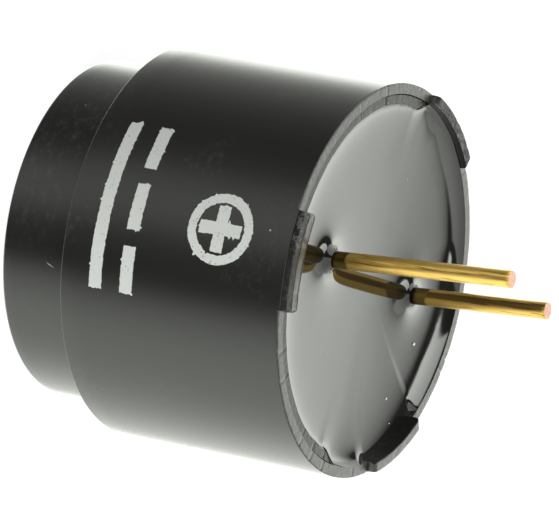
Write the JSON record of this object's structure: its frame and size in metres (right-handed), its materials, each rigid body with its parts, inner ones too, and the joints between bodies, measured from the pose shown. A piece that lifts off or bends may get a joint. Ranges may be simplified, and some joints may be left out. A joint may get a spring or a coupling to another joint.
{
  "type": "magnetic buzzer",
  "caption": "Round magnetic buzzer in a stepped black plastic can, with a sound hole in its narrow end, glossy potting in its open end and gold through-hole pins of unequal length.",
  "frame": {"origin": "middle of the flat front face, which the can stands on", "axes": "+Z along the can's axis from the front face to the pins, +X from the axis towards the positive pin"},
  "size_m": [0.016, 0.016, 0.021],
  "materials": {
    "housing_plastic": "moulded black plastic with a soft gloss and fine handling scratches",
    "potting": "black epoxy with a mirror-like poured surface",
    "pin_gold": "gold-plated drawn wire with sheared ends",
    "spring_steel": "rolled spring steel",
    "soft_iron": "zinc-plated soft iron",
    "ring_plastic": "moulded plastic",
    "ferrite": "dark ferrite",
    "bobbin_plastic": "natural nylon",
    "copper_wire": "enamelled copper wire",
    "board_laminate": "phenolic paper laminate",
    "component_black": "moulded component body",
    "tinned_metal": "tin and solder"
  },
  "bodies": {
    "root": {"housing": "housing_plastic", "epoxy_seal": "potting", "positive_pin": "pin_gold", "negative_pin": "pin_gold", "diaphragm": "spring_steel", "armature_disc": "soft_iron", "support_ring": "ring_plastic", "ring_magnet": "ferrite", "yoke_plate": "soft_iron", "pole_core": "soft_iron", "coil_bobbin": "bobbin_plastic", "drive_winding": "copper_wire", "feedback_winding": "copper_wire", "coil_leads": "copper_wire", "circuit_board": "board_laminate", "transistor_body": "component_black", "transistor_legs": "tinned_metal", "resistor_body": "component_black", "resistor_caps": "tinned_metal", "pin_solder": "tinned_metal", "lead_solder": "tinned_metal"}
  },
  "joints": []
}
